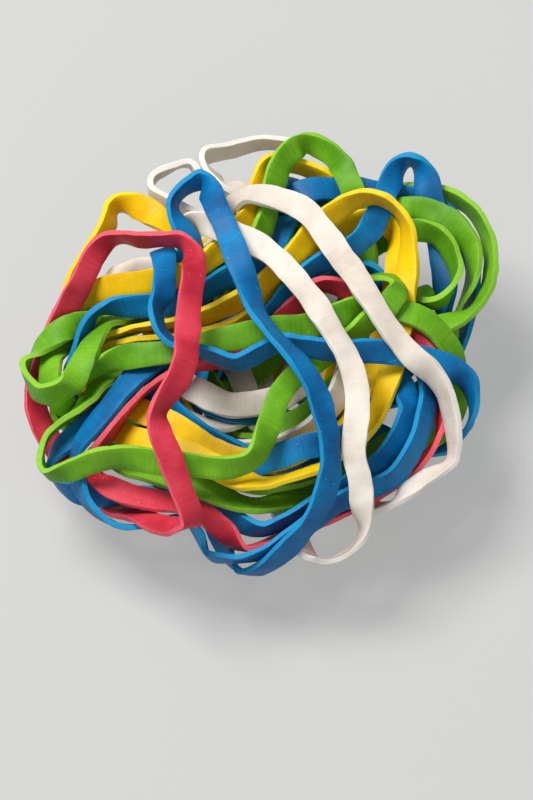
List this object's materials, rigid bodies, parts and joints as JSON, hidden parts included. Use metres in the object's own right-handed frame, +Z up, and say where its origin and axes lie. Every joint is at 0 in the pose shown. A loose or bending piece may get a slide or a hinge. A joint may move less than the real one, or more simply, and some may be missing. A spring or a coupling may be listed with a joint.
{
  "type": "rubber band ball",
  "caption": "Loose ball of wide flat rubber bands in red, blue, green, yellow and white, tangled together and resting on a bench",
  "frame": {"origin": "on the bench, under the middle of the ball's box", "axes": "+X to the right and +Y away as seen from the front, +Z up"},
  "size_m": [0.1168, 0.115, 0.0575],
  "materials": {
    "red_rubber": "smooth moulded rubber with a dusting of powder",
    "blue_rubber": "smooth moulded rubber with a dusting of powder",
    "green_rubber": "smooth moulded rubber with a dusting of powder",
    "yellow_rubber": "smooth moulded rubber with a dusting of powder",
    "white_rubber": "smooth moulded rubber with a dusting of powder"
  },
  "bodies": {
    "root": {"red_band_1": "red_rubber", "red_band_2": "red_rubber", "white_band_1": "white_rubber", "white_band_2": "white_rubber", "white_band_3": "white_rubber", "white_band_4": "white_rubber", "white_band_5": "white_rubber", "yellow_band_1": "yellow_rubber", "yellow_band_2": "yellow_rubber", "yellow_band_3": "yellow_rubber", "yellow_band_4": "yellow_rubber", "yellow_band_5": "yellow_rubber", "blue_band_1": "blue_rubber", "blue_band_2": "blue_rubber", "blue_band_3": "blue_rubber", "blue_band_4": "blue_rubber", "blue_band_5": "blue_rubber", "blue_band_6": "blue_rubber", "blue_band_7": "blue_rubber", "blue_band_8": "blue_rubber", "blue_band_9": "blue_rubber", "blue_band_10": "blue_rubber", "green_band_1": "green_rubber", "green_band_2": "green_rubber", "green_band_3": "green_rubber", "green_band_4": "green_rubber", "green_band_5": "green_rubber", "green_band_6": "green_rubber", "green_band_7": "green_rubber", "green_band_8": "green_rubber"}
  },
  "joints": []
}
